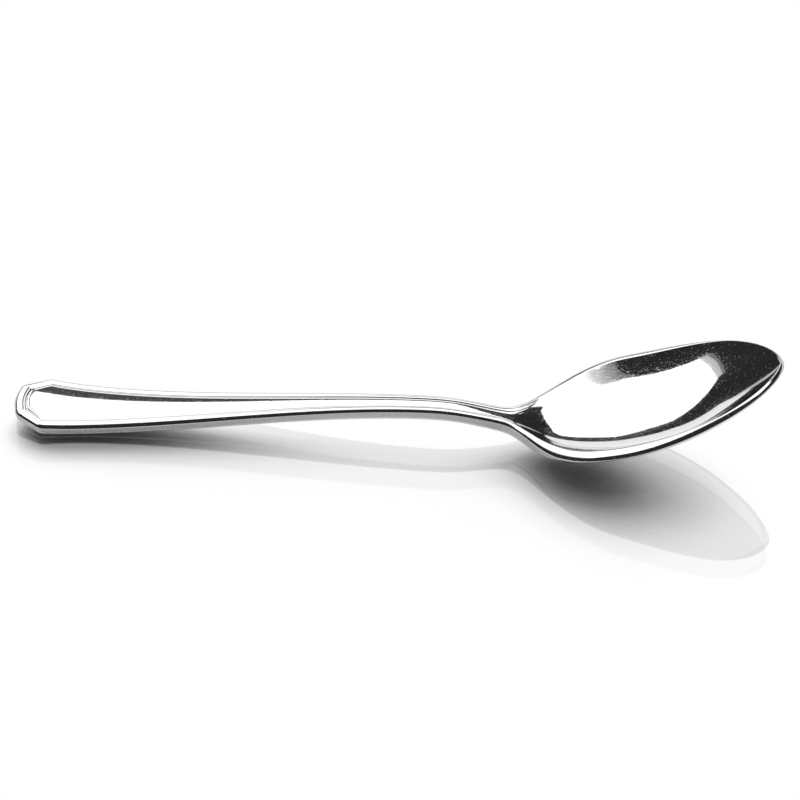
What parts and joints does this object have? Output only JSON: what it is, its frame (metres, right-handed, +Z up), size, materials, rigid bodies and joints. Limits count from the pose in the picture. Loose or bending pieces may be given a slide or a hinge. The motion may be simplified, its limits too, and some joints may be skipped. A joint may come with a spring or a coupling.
{
  "type": "dessert spoon",
  "caption": "Polished steel dessert spoon with a chamfered handle end, threaded border, slender arched stem and pointed egg-shaped bowl, for eating or serving.",
  "frame": {"origin": "middle of the footprint on the table, halfway between handle end and bowl tip", "axes": "+X runs from the handle end to the bowl tip, +Z is up out of the bowl, Y is across"},
  "size_m": [0.182, 0.037, 0.0281],
  "materials": {
    "polished_steel": "mirror-polished stainless steel with fine use scratches"
  },
  "bodies": {
    "root": {"handle_end": "polished_steel", "stem": "polished_steel", "neck": "polished_steel", "bowl": "polished_steel"}
  },
  "joints": []
}
